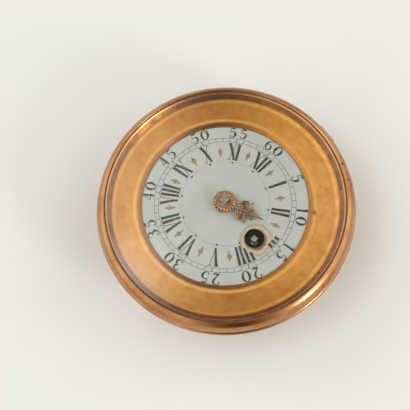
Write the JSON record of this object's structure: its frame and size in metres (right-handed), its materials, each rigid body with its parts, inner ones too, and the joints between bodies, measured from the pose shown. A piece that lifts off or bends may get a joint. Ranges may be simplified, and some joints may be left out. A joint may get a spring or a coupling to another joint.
{
  "type": "table clock",
  "caption": "Round gilt drum table clock with a domed glass in a hinged bezel, a broad satin surround, an enamel dial and a pierced hour hand over a fusee movement.",
  "frame": {"origin": "centre of the flat back, on the surface it lies on", "axes": "+Z is the outward normal of the dial and glass, +Y points at twelve o'clock, +X at three o'clock"},
  "size_m": [0.0596, 0.0596, 0.0203],
  "materials": {
    "gilt_polished": "polished gilt",
    "gilt_satin": "satin gilt",
    "movement_brass": "fine grained, gilt",
    "steel": "polished steel",
    "blued_steel": "blued steel",
    "enamel": "glossy fired enamel on copper",
    "copper": "bare copper",
    "glass": "clear polished"
  },
  "bodies": {
    "case": {"case_body": "gilt_polished", "case_back": "gilt_polished", "bezel_hinge_pin": "gilt_polished", "dial_surround": "gilt_satin", "movement_ring": "movement_brass", "ring_screws": "steel", "dial": "enamel", "dial_feet": "copper", "dial_foot_pins": "steel", "minute_stud": "steel", "pillar_plate": "movement_brass", "top_plate": "movement_brass", "pillars": "movement_brass", "pillar_pins": "steel", "barrel_arbor": "steel", "fusee_chain": "steel", "setup_ratchet": "steel", "setup_click": "steel", "potence": "movement_brass", "counter_potence": "movement_brass", "balance_spring": "blued_steel", "spring_stud": "steel", "balance_cock": "movement_brass", "cock_screws": "steel"},
    "bezel_lid": {"bezel": "gilt_polished", "crystal": "glass"},
    "cannon": {"cannon_pinion": "steel"},
    "minute_work": {"minute_wheel": "movement_brass"},
    "hour_work": {"hour_wheel": "movement_brass", "hour_hand": "gilt_polished", "hand_rosette": "gilt_polished"},
    "contrate": {"contrate_arbor": "steel", "contrate_wheel": "movement_brass"},
    "third": {"third_arbor": "steel", "third_wheel": "movement_brass"},
    "centre": {"centre_arbor": "steel", "centre_wheel": "movement_brass"},
    "great": {"great_wheel": "movement_brass"},
    "crown": {"crown_arbor": "steel", "crown_wheel": "movement_brass"},
    "fusee": {"fusee_cone": "movement_brass", "fusee_arbor": "steel"},
    "barrel_drum": {"barrel": "movement_brass", "barrel_lid": "movement_brass", "mainspring": "blued_steel"},
    "balance": {"verge": "steel", "balance_wheel": "movement_brass"}
  },
  "joints": [
    {"name": "bezel_hinge", "type": "hinge", "parent": "case", "child": "bezel_lid", "pos_m": [0.0071, 0.02848, 0.01465], "axis": [-0.9703, 0.2419, 0], "range_deg": [0, 105]},
    {"name": "cannon_turn", "type": "hinge", "parent": "case", "child": "cannon", "pos_m": [0, 0, 0.01255], "axis": [0, 0, -1], "continuous": true},
    {"name": "minute_wheel_turn", "type": "hinge", "parent": "case", "child": "minute_work", "pos_m": [-0.00382, 0.00382, 0.01255], "axis": [0, 0, -1], "continuous": true},
    {"name": "hour_hand_turn", "type": "hinge", "parent": "case", "child": "hour_work", "pos_m": [0, 0, 0.01325], "axis": [0, 0, -1], "continuous": true},
    {"name": "contrate_turn", "type": "hinge", "parent": "case", "child": "contrate", "pos_m": [-0.00458, 0.00867, 0.00738], "axis": [0, 0, -1], "continuous": true},
    {"name": "third_turn", "type": "hinge", "parent": "case", "child": "third", "pos_m": [-0.00598, 0.00345, 0.0085], "axis": [0, 0, -1], "continuous": true},
    {"name": "centre_turn", "type": "hinge", "parent": "case", "child": "centre", "pos_m": [0, 0, 0.01045], "axis": [0, 0, -1], "continuous": true},
    {"name": "great_turn", "type": "hinge", "parent": "case", "child": "great", "pos_m": [0.01039, -0.00208, 0.00945], "axis": [0, 0, -1], "continuous": true},
    {"name": "crown_turn", "type": "hinge", "parent": "case", "child": "crown", "pos_m": [0, 0.00867, 0.00855], "axis": [-1, 0, 0], "continuous": true},
    {"name": "fusee_wind", "type": "hinge", "parent": "case", "child": "fusee", "pos_m": [0.01039, -0.00208, 0.00625], "axis": [0, 0, -1], "range_deg": [0, 1800]},
    {"name": "barrel_wind", "type": "hinge", "parent": "case", "child": "barrel_drum", "pos_m": [-0.00267, -0.01047, 0.00625], "axis": [0, 0, -1], "range_deg": [0, 1080]},
    {"name": "balance_swing", "type": "hinge", "parent": "case", "child": "balance", "pos_m": [0.003, 0.00867, 0.0035], "axis": [0, 0, -1], "range_deg": [-100, 100], "stiffness_Nm_per_rad": 0.000003}
  ],
  "couplings": [
    {"joint": "minute_wheel_turn", "follows": "cannon_turn", "ratio": -0.33333},
    {"joint": "hour_hand_turn", "follows": "cannon_turn", "ratio": 0.083333},
    {"joint": "third_turn", "follows": "contrate_turn", "ratio": -0.125},
    {"joint": "centre_turn", "follows": "contrate_turn", "ratio": 0.013889},
    {"joint": "great_turn", "follows": "contrate_turn", "ratio": -0.0046296},
    {"joint": "crown_turn", "follows": "contrate_turn", "ratio": 8},
    {"joint": "barrel_wind", "follows": "fusee_wind", "ratio": 0.594}
  ]
}
